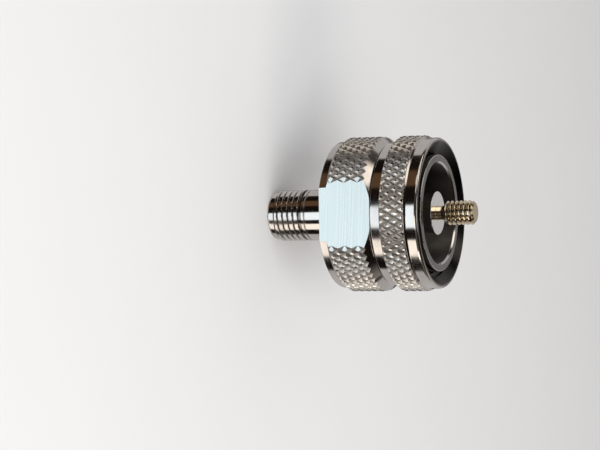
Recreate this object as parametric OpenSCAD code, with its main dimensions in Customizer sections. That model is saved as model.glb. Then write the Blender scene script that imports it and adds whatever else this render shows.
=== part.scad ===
// Coaxial adaptor: a small threaded jack at the bottom, a knurled grip body with two wrench
// flats, and at the top a large air-spaced line end with a free-spinning coupling nut and a
// threaded stud on its centre conductor. Millimetres, +Z along the connector's axis.
// The origin is the centre of the jack's open end, and the jack's open end is the foot.

/* [Jack] */
// Outer diameter of the threaded barrel
barrel_d = 6.35; // [6.2:0.01:6.6]
// Diameter of the plain lead before the barrel's thread
lead_d = 5.9; // [5.6:0.02:6.1]
// Length of the plain lead
lead_l = 1.0; // [0.7:0.05:1.4]
// Length of the barrel, from its open end to the grip body
barrel_l = 9.35; // [8:0.05:12]
// Diameter of the counterbore that takes the plug's outer contact
socket_d = 4.6; // [4.5:0.02:4.8]
// Depth of that counterbore
socket_l = 1.95; // [1.5:0.05:2.5]
// Diameter of the jack's plastic insulator
insulator_d = 4.1; // [3.6:0.05:4.3]
// Diameter of the jack's slotted contact
contact_d = 1.27; // [1.1:0.01:1.5]
// Diameter of the hole that takes the plug's pin
contact_hole_d = 0.94; // [0.8:0.01:1]
// Depth of that hole
contact_hole_l = 2.6; // [2:0.1:4]
// Length of the slots in the contact
slot_l = 1.9; // [1:0.1:2.5]
// Width of the slots in the contact
slot_w = 0.18; // [0.1:0.02:0.3]

/* [Grip body] */
// Diameter of the plain land behind the knurl
rear_land_d = 18.2; // [17.4:0.1:18.4]
// Length of the plain land behind the knurl
rear_land_l = 0.9; // [0.6:0.1:2]
// Length of the body's knurl, its rear bevel included
grip_l = 4.7; // [3.5:0.05:6]
// Width of the bevel at the rear end of the body's knurl
grip_bevel = 0.48; // [0.2:0.02:0.5]
// Length of the cone in front of the knurl
nose_l = 0.9; // [0.7:0.05:1.2]
// Diameter of the front shoulder at the small end of the cone
shoulder_d = 17.4; // [16.6:0.1:17.8]
// Width across the two wrench flats
flats_w = 17; // [16.6:0.1:17.6]

/* [Knurl] */
// Diameter over the crests of both knurls, the body's and the nut's
knurl_d = 19.2; // [19:0.1:20]
// Number of diamonds around
diamonds = 60; // [48:1:66]
// Angle between the knurl's grooves and the axis
knurl_angle = 30; // [25:1:35]
// Depth of the knurl's grooves
knurl_depth = 0.3; // [0.22:0.01:0.38]
// Share of a diamond's width that is left flat at its crest
crest_share = 0.26; // [0.1:0.01:0.4]

/* [Coupling nut] */
// Overall length of the nut
nut_l = 6.1; // [5.8:0.05:7]
// Diameter of the plain land behind the nut's knurl
nut_rear_d = 17.8; // [17.4:0.1:18]
// Length of that land
nut_rear_l = 1.3; // [1:0.05:1.8]
// Length of the nut's knurl
nut_knurl_l = 3.2; // [2.5:0.05:3.4]
// Width of the bevel at each end of the nut's knurl
knurl_bevel = 0.24; // [0.1:0.02:0.28]
// How far the bevelled collar in front of the nut's knurl lies below the crests
collar_drop = 0.1; // [0.05:0.05:0.2]
// Diameter of the plain land in front of the nut's knurl
nut_front_d = 18.56; // [18.3:0.02:18.7]
// Radius of the nut's rounded front edge
nut_edge_r = 0.35; // [0.2:0.05:0.4]
// Width of the nut's narrow front rim
nut_rim_w = 0.42; // [0.38:0.02:0.6]
// Bore of the nut's internal thread
nut_thread_d = 14.94; // [14.9:0.02:15.2]
// Thickness of the nut's rear flange
nut_flange_t = 0.95; // [0.8:0.05:1.1]
// Diameter of the chamber for the retaining ring and the gasket
chamber_d = 16.3; // [16.2:0.05:16.5]
// Gap between the nut and the body's shoulder
nut_gap = 0.2; // [0.1:0.05:0.3]

/* [Line end] */
// Bore of the outer conductor
line_d = 12.3; // [11.9:0.05:12.5]
// Outer diameter of the outer conductor's front tube
sleeve_d = 14.36; // [13.6:0.02:14.5]
// Width of the bevel at the mouth of the outer conductor's bore
lip_w = 0.2; // [0.1:0.02:0.3]
// How far the tube's end face lies behind the nut's front
sleeve_setback = 0.25; // [0:0.05:0.6]
// Diameter of the journal that the nut turns on
journal_d = 15.1; // [15:0.05:15.2]
// Length of the journal
journal_l = 2.1; // [2:0.05:2.3]
// Diameter of the spigot that fastens the outer conductor in the body
spigot_d = 14; // [13.6:0.05:14.2]
// Length of that spigot
spigot_l = 2.25; // [1.6:0.05:2.6]
// Diameter of the centre conductor
conductor_d = 5.34; // [5:0.02:5.6]
// How far the centre conductor's face lies behind the outer conductor's
conductor_setback = 0.25; // [0:0.05:0.6]

/* [Insulating bead] */
// Diameter of the bead
bead_d = 13.1; // [12.8:0.05:13.3]
// Thickness of the bead
bead_t = 1.6; // [1.2:0.05:2]
// Diameter of the centre conductor's neck inside the bead
neck_d = 3.2; // [2.8:0.05:3.8]

/* [Retaining ring and gasket] */
// Thickness of the split retaining ring
ring_t = 0.5; // [0.4:0.02:0.55]
// Outer diameter of the retaining ring
ring_d = 16.1; // [15.9:0.02:16.12]
// Inner diameter of the retaining ring
ring_hole_d = 14.1; // [13.9:0.05:14.3]
// Width of the split in the retaining ring
ring_split = 1.6; // [1:0.1:3]
// Thickness of the face gasket
gasket_t = 0.5; // [0.4:0.05:0.55]

/* [Centre stud] */
// Diameter of the stud's thread
stud_d = 3; // [2.6:0.05:3.2]
// Length of the stud's thread
stud_l = 3.6; // [2.5:0.1:4.5]
// Width of the chamfer at the stud's tip
stud_tip = 0.4; // [0.2:0.05:0.6]
// Diameter of the stud's neck
stud_neck_d = 1.8; // [1.4:0.02:2]
// Length of the neck that shows
stud_neck_l = 1.25; // [0.8:0.05:2]
// Depth of the stud's tail in the centre conductor
stud_tail_l = 3; // [2:0.1:4]

/* [Hidden] */
$fn = 96;

edge = 0.12;         // small edge break on turned corners
seat_gap = 0.02;     // radial clearance of a piece seated in its bore
run_gap = 0.07;      // radial clearance between the nut and its journal
free_gap = 0.1;      // clearance of loose pieces in the nut's chamber
over = 1;            // how far a cutting solid runs past a face
band_t = 0.5;        // thickness of a knurl's band below its grooves
core_drop = 0.05;    // how far the turned core lies below the knurl's grooves
cone_slope = 0.34;   // length of the line's inner cone for each millimetre of radius

nickel = [0.80, 0.79, 0.76];
gold = [0.83, 0.68, 0.38];
ptfe = [0.93, 0.92, 0.88];
rubber = [0.10, 0.10, 0.10];

// Stations along the axis, from the jack's open end
z_rear = barrel_l;
z_grip = z_rear + rear_land_l;
z_nose = z_grip + grip_l;
z_shoulder = z_nose + nose_l;
z_nut = z_shoulder + nut_gap;
z_nut_top = z_nut + nut_l;
z_nut_knurl = z_nut + nut_rear_l;
z_nut_land = z_nut_knurl + nut_knurl_l;
z_line = z_nut_top - sleeve_setback;
z_core = z_line - conductor_setback;
z_bead_top = z_shoulder - spigot_l;
z_bead = z_bead_top - bead_t;
z_chamber = z_nut + nut_flange_t;
z_ring = z_chamber + free_gap / 2;
z_journal_top = z_shoulder + journal_l;
z_thread = z_journal_top + gasket_t + free_gap;
cone_l = (line_d - insulator_d) / 2 * cone_slope;
z_cone = z_bead - cone_l;

knurl_r = knurl_d / 2;
core_r = knurl_r - knurl_depth - core_drop;

// Solid of revolution about the axis from an outline of [radius, height] points
module turned(outline) {
    rotate_extrude() polygon(outline);
}

// Cylindrical hole from height z0 to z1
module hole(d, z0, z1) {
    translate([0, 0, z0]) cylinder(d = d, h = z1 - z0);
}

// Band of raised diamonds between heights z0 and z1: a lattice of half steps around and along,
// with a flat-topped crest at every other node and the grooves' crossings between them.
module knurl_band(z0, z1) {
    valley_r = knurl_r - knurl_depth;
    inner_r = valley_r - band_t;
    cols = 2 * diamonds;
    step_a = 360 / cols;
    step_z = PI * knurl_r / diamonds / tan(knurl_angle);
    rows = ceil((z1 - z0) / step_z) + 1;
    base_z = (z0 + z1 - rows * step_z) / 2;

    function at(r, col, row) = [r * cos(col * step_a), r * sin(col * step_a), base_z + row * step_z];
    function is_crest(col, row) = (col + row) % 2 == 0 && row > 0 && row < rows;
    function node_i(col, row) = row * cols + (col + cols) % cols;
    function inner_i(col, row) = (rows + 1) * cols + (row == 0 ? 0 : cols) + (col + cols) % cols;

    nodes = [for (row = [0 : rows]) for (col = [0 : cols - 1])
                 at(valley_r, col, row)];
    inner = [for (row = [0, rows]) for (col = [0 : cols - 1]) at(inner_r, col, row)];
    crests = [for (row = [1 : rows - 1]) for (col = [0 : cols - 1]) if (is_crest(col, row)) [col, row]];
    tips = [for (c = crests) for (d = [[1, 0], [0, 1], [-1, 0], [0, -1]])
                at(knurl_r, c[0] + d[0] * crest_share, c[1] + d[1] * crest_share)];
    tips_i = len(nodes) + len(inner);

    crest_faces = [for (n = [0 : len(crests) - 1])
        let (c = crests[n], t = tips_i + 4 * n,
             corner = [node_i(c[0] + 1, c[1]), node_i(c[0], c[1] + 1),
                       node_i(c[0] - 1, c[1]), node_i(c[0], c[1] - 1)])
        each concat([[t + 3, t + 2, t + 1], [t + 3, t + 1, t]],
                    [for (k = [0 : 3]) [t + k, t + (k + 1) % 4, corner[(k + 1) % 4]]],
                    [for (k = [0 : 3]) [t + k, corner[(k + 1) % 4], corner[k]]])];
    foot_faces = [for (col = [0 : 2 : cols - 1])
        each [[node_i(col, 0), node_i(col, 1), node_i(col + 1, 0)],
              [node_i(col, 0), node_i(col - 1, 0), node_i(col, 1)]]];
    head_faces = [for (col = [rows % 2 : 2 : cols - 1 + rows % 2])
        each [[node_i(col, rows), node_i(col + 1, rows), node_i(col, rows - 1)],
              [node_i(col, rows), node_i(col, rows - 1), node_i(col - 1, rows)]]];
    ring_faces = [for (col = [0 : cols - 1])
        each [[node_i(col, 0), node_i(col + 1, 0), inner_i(col + 1, 0)],
              [node_i(col, 0), inner_i(col + 1, 0), inner_i(col, 0)],
              [inner_i(col, 0), inner_i(col + 1, 0), inner_i(col + 1, rows)],
              [inner_i(col, 0), inner_i(col + 1, rows), inner_i(col, rows)],
              [inner_i(col, rows), inner_i(col + 1, rows), node_i(col + 1, rows)],
              [inner_i(col, rows), node_i(col + 1, rows), node_i(col, rows)]]];

    polyhedron(points = concat(nodes, inner, tips),
               faces = concat(crest_faces, foot_faces, head_faces, ring_faces));
}

// Jack barrel, grip body and front shoulder, turned from one bar
module main_body() {
    color(nickel)
    difference() {
        union() {
            turned([[0, 0], [lead_d / 2 - 2 * edge, 0], [lead_d / 2, 2 * edge],
                    [lead_d / 2, lead_l - (barrel_d - lead_d) / 2], [barrel_d / 2, lead_l],
                    [barrel_d / 2, z_rear], [rear_land_d / 2 - edge, z_rear],
                    [rear_land_d / 2, z_rear + edge], [rear_land_d / 2, z_grip], [0, z_grip]]);
            intersection() {
                union() {
                    hole(2 * core_r, z_grip, z_shoulder);
                    knurl_band(z_grip, z_shoulder);
                }
                turned([[0, z_grip], [knurl_r - grip_bevel, z_grip],
                        [knurl_r + edge, z_grip + grip_bevel + edge], [knurl_r + edge, z_nose - edge],
                        [shoulder_d / 2, z_shoulder], [0, z_shoulder]]);
            }
        }
        for (side = [-1, 1])
            translate([-knurl_r - over, side > 0 ? flats_w / 2 : -flats_w / 2 - knurl_r, z_rear - over])
                cube([knurl_d + 2 * over, knurl_r, z_shoulder - z_rear + 2 * over]);
        hole(socket_d, -over, socket_l);
        turned([[0, -over], [socket_d / 2 + edge + over, -over], [socket_d / 2, edge], [0, edge]]);
        hole(insulator_d + 2 * seat_gap, 0, z_bead);
        turned([[0, z_cone], [insulator_d / 2 + seat_gap, z_cone], [line_d / 2, z_bead],
                [line_d / 2, z_bead + edge], [0, z_bead + edge]]);
        hole(bead_d + 2 * seat_gap, z_bead, z_bead_top + edge);
        hole(spigot_d + 2 * seat_gap, z_bead_top, z_shoulder + over);
    }
}

// Front tube of the line, with the journal for the nut, the ring's groove and the rear spigot
module outer_conductor() {
    color(nickel)
    difference() {
        turned([[0, z_bead_top], [spigot_d / 2, z_bead_top], [spigot_d / 2, z_shoulder],
                [journal_d / 2, z_shoulder], [journal_d / 2, z_ring - free_gap / 2],
                [ring_hole_d / 2 - free_gap, z_ring - free_gap / 2],
                [ring_hole_d / 2 - free_gap, z_ring + ring_t + free_gap / 2],
                [journal_d / 2, z_ring + ring_t + free_gap / 2],
                [journal_d / 2, z_journal_top], [sleeve_d / 2, z_journal_top],
                [sleeve_d / 2, z_line - edge], [sleeve_d / 2 - edge, z_line], [0, z_line]]);
        hole(line_d, z_bead_top - over, z_line + over);
        turned([[0, z_line - lip_w], [line_d / 2, z_line - lip_w], [line_d / 2 + lip_w, z_line],
                [line_d / 2 + lip_w, z_line + over], [0, z_line + over]]);
    }
}

// Free-spinning coupling nut: rear flange on the journal, ring chamber, thread bore and a wide
// countersink behind a narrow rounded rim
module coupling_nut() {
    front_r = nut_front_d / 2;
    rim_r = front_r - nut_rim_w;
    collar_r = knurl_r - collar_drop;
    countersink_l = rim_r - nut_thread_d / 2;
    color(nickel)
    difference() {
        union() {
            turned([[0, z_nut], [nut_rear_d / 2 - edge, z_nut], [nut_rear_d / 2, z_nut + edge],
                    [nut_rear_d / 2, z_nut_knurl - edge], [core_r, z_nut_knurl],
                    [core_r, z_nut_land - edge], [collar_r, z_nut_land - edge / 2],
                    [front_r, z_nut_land - edge / 2 + collar_r - front_r],
                    [front_r, z_nut_top - nut_edge_r],
                    [front_r - nut_edge_r, z_nut_top - nut_edge_r], [front_r - nut_edge_r, z_nut_top],
                    [0, z_nut_top]]);
            rotate_extrude()
                translate([front_r - nut_edge_r, z_nut_top - nut_edge_r]) circle(r = nut_edge_r);
            intersection() {
                knurl_band(z_nut_knurl, z_nut_land);
                turned([[0, z_nut_knurl], [knurl_r - knurl_bevel, z_nut_knurl],
                        [knurl_r + edge, z_nut_knurl + knurl_bevel + edge],
                        [knurl_r + edge, z_nut_land - knurl_bevel - edge],
                        [knurl_r - knurl_bevel, z_nut_land], [0, z_nut_land]]);
            }
        }
        hole(journal_d + 2 * run_gap, z_nut - over, z_chamber + edge);
        hole(chamber_d, z_chamber, z_thread);
        hole(nut_thread_d, z_thread - edge, z_nut_top + over);
        turned([[0, z_nut_top - countersink_l], [nut_thread_d / 2, z_nut_top - countersink_l],
                [rim_r, z_nut_top], [rim_r, z_nut_top + over], [0, z_nut_top + over]]);
    }
}

// Split spring ring that holds the nut on the outer conductor
module retaining_ring() {
    color(nickel)
    difference() {
        hole(ring_d, z_ring, z_ring + ring_t);
        hole(ring_hole_d, z_ring - over, z_ring + ring_t + over);
        translate([0, -ring_split / 2, z_ring - over])
            cube([ring_d, ring_split, ring_t + 2 * over]);
    }
}

// Flat rubber ring on the journal's front step
module face_gasket() {
    color(rubber)
    difference() {
        hole(chamber_d - 2 * free_gap, z_journal_top, z_journal_top + gasket_t);
        hole(sleeve_d + 2 * seat_gap, z_journal_top - over, z_journal_top + gasket_t + over);
    }
}

// Disc that carries the centre conductor in the outer conductor's axis
module insulating_bead() {
    color(ptfe)
    difference() {
        hole(bead_d, z_bead, z_bead_top);
        hole(neck_d + 2 * seat_gap, z_bead - over, z_bead_top + over);
    }
}

// Large centre conductor with a neck through the bead and a hole at each end
module centre_conductor() {
    tail_d = neck_d / 2;
    color(nickel)
    difference() {
        turned([[0, z_bead], [neck_d / 2, z_bead], [neck_d / 2, z_bead_top],
                [conductor_d / 2, z_bead_top], [conductor_d / 2, z_core - edge],
                [conductor_d / 2 - edge, z_core], [0, z_core]]);
        hole(tail_d + 2 * seat_gap, z_bead - over, z_bead_top + bead_t);
        hole(stud_neck_d + 2 * seat_gap, z_core - stud_tail_l, z_core + over);
    }
}

// Threaded stud with a slim neck and a tail in the centre conductor
module centre_stud() {
    z_thread_foot = z_core + stud_neck_l;
    z_tip = z_thread_foot + stud_l;
    color(gold)
    turned([[0, z_core - stud_tail_l], [stud_neck_d / 2, z_core - stud_tail_l],
            [stud_neck_d / 2, z_thread_foot - edge], [stud_d / 2 - 2 * edge, z_thread_foot],
            [stud_d / 2, z_thread_foot + edge], [stud_d / 2, z_tip - stud_tip],
            [stud_d / 2 - stud_tip, z_tip], [0, z_tip]]);
}

// Plastic insulator of the jack
module jack_insulator() {
    color(ptfe)
    difference() {
        hole(insulator_d, socket_l, z_cone);
        hole(contact_d + 2 * seat_gap, socket_l - over, z_cone + over);
    }
}

// Slotted contact of the jack, with a cone up to the bead and a tail in the centre conductor
module jack_contact() {
    tail_d = neck_d / 2;
    color(gold)
    difference() {
        turned([[0, socket_l], [contact_d / 2, socket_l], [contact_d / 2, z_cone],
                [conductor_d / 2, z_bead], [tail_d / 2, z_bead], [tail_d / 2, z_bead_top + bead_t / 2],
                [0, z_bead_top + bead_t / 2]]);
        hole(contact_hole_d, socket_l - over, socket_l + contact_hole_l);
        for (turn = [0, 90])
            rotate([0, 0, turn]) translate([-contact_d, -slot_w / 2, socket_l - over])
                cube([2 * contact_d, slot_w, slot_l + over]);
    }
}

main_body();
outer_conductor();
coupling_nut();
retaining_ring();
face_gasket();
insulating_bead();
centre_conductor();
centre_stud();
jack_insulator();
jack_contact();
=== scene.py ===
"""Looks of a coaxial connector adaptor: small threaded jack, knurled body, coupling nut, stud."""

import math

import bmesh
import bpy
from bpy.props import FloatProperty, FloatVectorProperty, IntProperty, PointerProperty
from mathutils import Matrix, Vector


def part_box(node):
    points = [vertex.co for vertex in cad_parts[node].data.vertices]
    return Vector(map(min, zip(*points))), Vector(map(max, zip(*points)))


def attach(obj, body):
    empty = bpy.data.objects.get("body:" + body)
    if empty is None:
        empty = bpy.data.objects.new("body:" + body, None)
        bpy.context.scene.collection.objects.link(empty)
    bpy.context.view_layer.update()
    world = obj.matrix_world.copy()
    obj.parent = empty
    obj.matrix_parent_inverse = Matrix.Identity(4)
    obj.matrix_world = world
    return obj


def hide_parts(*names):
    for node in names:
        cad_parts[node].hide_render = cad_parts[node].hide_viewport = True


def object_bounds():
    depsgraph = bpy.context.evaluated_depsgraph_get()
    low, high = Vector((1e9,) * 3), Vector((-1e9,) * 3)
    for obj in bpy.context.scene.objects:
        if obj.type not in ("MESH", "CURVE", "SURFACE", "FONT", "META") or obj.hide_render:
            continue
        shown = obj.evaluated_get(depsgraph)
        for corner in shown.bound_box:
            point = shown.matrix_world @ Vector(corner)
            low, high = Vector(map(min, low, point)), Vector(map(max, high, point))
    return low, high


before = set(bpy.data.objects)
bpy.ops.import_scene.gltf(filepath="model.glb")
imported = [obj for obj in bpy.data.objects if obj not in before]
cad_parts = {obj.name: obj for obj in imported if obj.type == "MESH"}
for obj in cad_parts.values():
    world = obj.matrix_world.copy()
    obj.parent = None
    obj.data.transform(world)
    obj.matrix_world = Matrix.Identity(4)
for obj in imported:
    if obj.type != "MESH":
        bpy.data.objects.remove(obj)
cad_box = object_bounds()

bl_info = {
    "name": "Coaxial Adaptor",
    "version": (1, 0, 0),
    "blender": (4, 5, 0),
    "location": "View3D > Sidebar > Adaptor",
    "description": "Builds the dressed pieces of a coaxial connector adaptor on its frame",
    "category": "Object",
}

MM = 0.001
ROUND_STEPS = 5  # straight steps in a quarter turn of a rounded corner
STRIP = 0.04 * MM  # narrow strip beside a rounded corner
SHARP = math.radians(19.5)  # edges that bend more than this stay crisp
FINE = 512  # columns round a polished turned piece
THREADED = 256  # columns round a thread and the centre conductor
SLIM = 180  # columns round the slim stud
PLAIN = 128  # columns round a hidden piece
OVER = 1 * MM  # how far a cutting solid runs past a face
LAP = 0.1 * MM  # how far solids that are joined or trimmed run into each other
SEAT = 0.02 * MM  # clearance round a piece in its seat
NEAR = 0.01 * MM  # how close a face lies to the place that its finish goes by
THREAD_ROWS = 24  # rows of a thread's mesh in each turn
GROOVE_FLOOR = 0.12  # share of a knurl groove's depth in its round bottom
GROOVE_FLANK = 0.83  # share of that depth in its straight flank
GROOVE_BREAK = 0.05  # share of that depth where the flank bends into the crest
BREAK_W = 0.06  # width of that bend, as a share of a diamond
TURNING_PITCH = 0.05 * MM  # spacing of the lathe's marks on plate
GRAIN = 0.02 * MM  # height of the grain of plastic and rubber

FIXED = "adaptor"
TURNING = "nut"


def height(node):
    """Lowest and highest level of a frame node."""
    low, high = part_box(node)
    return low.z, high.z


def radius(node):
    """Largest radius of a round frame node."""
    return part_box(node)[1].x


# ---- properties


def length(name, millimetres, description):
    """A length property that a user sees in scene units."""
    return FloatProperty(
        name=name,
        description=description,
        default=millimetres * MM,
        min=0,
        precision=5,
        unit="LENGTH",
        subtype="DISTANCE",
    )


def colour(name, rgb, description):
    """A colour property."""
    return FloatVectorProperty(
        name=name,
        description=description,
        default=rgb,
        min=0,
        max=1,
        size=3,
        subtype="COLOR",
    )


def factor(name, value, description):
    """A number property between zero and one."""
    return FloatProperty(name=name, description=description, default=value, min=0, max=1)


def angle(name, degrees, description):
    """An angle property."""
    return FloatProperty(
        name=name,
        description=description,
        default=math.radians(degrees),
        unit="ROTATION",
        subtype="ANGLE",
    )


class JackSizes(bpy.types.PropertyGroup):
    """Sizes of the small jack's barrel and contact."""

    barrel_d: length("Barrel", 6.35, "Diameter over the barrel's thread")
    barrel_l: length("Barrel length", 9.35, "From the open end to the grip body")
    lead_d: length("Lead", 5.9, "Diameter of the plain lead before the thread")
    lead_l: length("Lead length", 1.0, "Length of the plain lead")
    thread_foot: length("First groove", 0.92, "Height at which the thread's first full turn starts")
    thread_end: length("Thread end", 4.34, "Height at which the thread ends in a relief groove")
    pitch: length("Pitch", 25.4 / 36, "Distance from crest to crest")
    depth: length("Thread depth", 0.22, "Depth of the thread's grooves")
    relief_l: length("Relief", 0.30, "Width of the relief groove behind the thread")
    collar_l: length("Collar", 0.38, "Width of the collar behind the relief groove")
    nick_w: length("Nick", 0.16, "Width of the narrow groove behind the collar")
    socket_d: length("Socket", 4.6, "Diameter of the counterbore")
    socket_l: length("Socket depth", 1.95, "Depth of the counterbore")


class BodySizes(bpy.types.PropertyGroup):
    """Sizes of the grip body."""

    rear_land_d: length("Rear land", 18.2, "Diameter of the land behind the knurl")
    rear_land_l: length("Rear land length", 0.9, "Length of the land behind the knurl")
    bevel: length("Bevel", 0.5, "Width of the bevel at the rear end of the knurl")
    nose_l: length("Nose", 0.9, "Length of the cone in front of the knurl")
    shoulder_d: length("Shoulder", 17.4, "Diameter at the small end of the cone")
    flats_w: length("Flats", 17.0, "Width across the two wrench flats")


class KnurlSizes(bpy.types.PropertyGroup):
    """Shape of the raised diamonds on the body and the nut."""

    diamonds: IntProperty(name="Diamonds", description="Diamonds around", default=60, min=24)
    helix: angle("Angle", 30, "Angle between the grooves and the axis")
    depth: length("Depth", 0.3, "Depth of the grooves")
    bevel: length("Bevel", 0.24, "Width of the bevel at each end of the nut's knurl")
    crest: factor("Crest", 0.24, "Share of a diamond that is left flat")
    root: factor("Root", 0.08, "Share of a diamond that is the groove's round bottom")


class NutSizes(bpy.types.PropertyGroup):
    """Sizes of the coupling nut."""

    rear_d: length("Rear land", 17.8, "Diameter of the land behind the knurl")
    rear_l: length("Rear land length", 1.3, "Length of the land behind the knurl")
    knurl_l: length("Knurl", 3.2, "Length of the knurl")
    collar_drop: length("Collar drop", 0.1, "From the crests down to the collar before the knurl")
    front_d: length("Front land", 18.56, "Diameter of the land in front of the knurl")
    edge_r: length("Edge", 0.35, "Radius of the rounded front edge")
    rim_w: length("Rim", 0.42, "Width of the narrow front rim")
    thread_d: length("Thread bore", 14.94, "Bore over the thread's crests")
    thread_depth: length("Thread depth", 0.45, "Depth of the internal thread")
    pitch: length("Pitch", 25.4 / 24, "Distance from crest to crest")
    flange_t: length("Flange", 0.95, "Thickness of the rear flange")
    flange_d: length("Flange bore", 15.24, "Bore of the rear flange")
    chamber_d: length("Chamber", 16.3, "Diameter of the chamber behind the thread")
    chamber_top: length("Chamber top", 18.55, "Height at which the chamber ends")


class LineSizes(bpy.types.PropertyGroup):
    """Sizes of the outer and centre conductors."""

    bore_d: length("Bore", 12.3, "Bore of the outer conductor")
    lip_w: length("Lip", 0.2, "Width of the bevel at the bore's mouth")
    tube_d: length("Tube", 14.36, "Outer diameter of the front tube")
    tube_foot: length("Tube foot", 17.95, "Height at which the front tube starts")
    spigot_d: length("Spigot", 14.0, "Diameter of the rear spigot")
    neck_d: length("Neck", 3.2, "Diameter of the centre conductor inside the bead")
    tail_d: length("Tail", 1.6, "Diameter of the jack contact's tail")


class StudSizes(bpy.types.PropertyGroup):
    """Sizes of the centre stud."""

    neck_d: length("Neck", 1.8, "Diameter of the slim neck")
    neck_l: length("Neck length", 1.25, "Length of the neck that shows")
    pitch: length("Pitch", 25.4 / 44, "Distance from crest to crest")
    depth: length("Thread depth", 0.26, "Depth of the thread's grooves")
    tip: length("Tip", 0.42, "Width of the chamfer at the tip")


class FinishColours(bpy.types.PropertyGroup):
    """Colours and gloss of the finishes."""

    nickel: colour("Nickel", (0.71, 0.67, 0.63), "Polished nickel plate")
    # Lighter than the plain nickel: painted light that brightens the diamonds.
    knurled: colour("Knurled nickel", (0.86, 0.83, 0.79), "Nickel plate on the diamonds")
    # Darker nickel for handling haze and milling streaks, and painted shade in the bottom of the
    # grooves.
    nickel_haze_and_groove_shade: colour("Haze_And_Groove_Shade", (0.20, 0.175, 0.15), "Nickel in the bottom of the grooves")
    # Paler and cooler than the nickel: painted light, the cool tint of the light that the flats
    # reflect.
    milled: colour("Milled nickel", (0.78, 0.85, 0.83), "Bright milled flats")
    gold: colour("Gold", (1.0, 0.87, 0.65), "Gold plate of the stud and the contact")
    # Darker gold for handling haze, and painted shade in the bottom of the grooves.
    gold_haze_and_groove_shade: colour("Dark gold", (0.40, 0.28, 0.15), "Gold in the bottom of the grooves")
    plastic: colour("Plastic", (0.80, 0.79, 0.75), "Jack insulator")
    # Near black: painted shade that keeps the bottom of the deep bore dark.
    bead: colour("Bead", (0.055, 0.05, 0.045), "Dark bead inside the line")
    rubber: colour("Rubber", (0.02, 0.02, 0.02), "Face gasket")
    polish: factor("Polish", 0.10, "Roughness of the polished plate")


class StageSettings(bpy.types.PropertyGroup):
    """Camera, floor and light."""

    lens: FloatProperty(name="Lens", description="Focal length", default=120, unit="CAMERA")
    distance: length("Distance", 252.75, "From the camera to the point it looks at")
    elevation: angle("Elevation", 22.81, "Height of the camera above the horizon")
    roll: angle("Roll", 89.14, "Turn of the camera about its own axis")
    aim: length("Aim height", 3.25, "Height of the point that the camera looks at")
    aside: length("Aim aside", 1.22, "Sideways place of the point that the camera looks at")
    floor: colour("Floor", (0.80, 0.79, 0.78), "Plain pale floor")


GROUPS = {
    "adaptor_jack": JackSizes,
    "adaptor_body": BodySizes,
    "adaptor_knurl": KnurlSizes,
    "adaptor_nut": NutSizes,
    "adaptor_line": LineSizes,
    "adaptor_stud": StudSizes,
    "adaptor_finish": FinishColours,
    "adaptor_stage": StageSettings,
}


# ---- mesh tools


def add_object(name, vertices, faces):
    """A new mesh object with outward normals, linked to the scene."""
    mesh = bpy.data.meshes.new(name)
    mesh.from_pydata(vertices, [], faces)
    shape = bmesh.new()
    shape.from_mesh(mesh)
    bmesh.ops.recalc_face_normals(shape, faces=shape.faces)
    shape.to_mesh(mesh)
    shape.free()
    piece = bpy.data.objects.new(name, mesh)
    bpy.context.scene.collection.objects.link(piece)
    return piece


def rounded(corners):
    """An outline of (radius, height) points from corners that may carry a rounding radius.

    Rounded corners become short arcs, with a narrow strip beside each arc that keeps the shading of
    the straight parts flat. The two ends of the outline stay as given.
    """
    outline = []
    for i, corner in enumerate(corners):
        here = Vector(corner[:2])
        rounding = corner[2] if len(corner) > 2 else 0
        if rounding <= 0 or i in (0, len(corners) - 1):
            outline.append(here)
            continue
        sides = [Vector(corners[k][:2]) - here for k in (i - 1, i + 1)]
        before, after = (side.normalized() for side in sides)
        half = before.angle(after) / 2
        reach = rounding / math.tan(half)
        centre = here + (before + after).normalized() * rounding / math.sin(half)
        start = here + before * reach - centre
        sweep = -before.angle_signed(after)
        turn = math.copysign(math.pi - abs(sweep), sweep)
        steps = max(2, round(ROUND_STEPS * abs(turn) / (math.pi / 2)))
        arc = [centre + Matrix.Rotation(-turn * k / steps, 2) @ start for k in range(steps + 1)]
        if sides[0].length > reach + 4 * STRIP:
            arc.insert(0, arc[0] + before * STRIP)
        if sides[1].length > reach + 4 * STRIP:
            arc.append(arc[-1] + after * STRIP)
        outline += arc
    return outline


def turned(name, corners, columns=FINE, ring=False):
    """A solid of revolution about +Z. A ring's outline closes; others start and end on the axis."""
    outline = rounded(corners)
    vertices, rows = [], []
    for point in outline:
        if point.x < 1e-7:
            rows.append([len(vertices)] * columns)
            vertices.append((0, 0, point.y))
            continue
        rows.append(range(len(vertices), len(vertices) + columns))
        for i in range(columns):
            turn = math.tau * i / columns
            vertices.append((point.x * math.cos(turn), point.x * math.sin(turn), point.y))
    faces = []
    pairs = list(zip(rows, rows[1:])) + ([(rows[-1], rows[0])] if ring else [])
    for low, high in pairs:
        for i in range(columns):
            k = (i + 1) % columns
            loop = [low[i], low[k], high[k], high[i]]
            faces.append([v for n, v in enumerate(loop) if v != loop[n - 1]])
    return add_object(name, vertices, faces)


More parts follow.
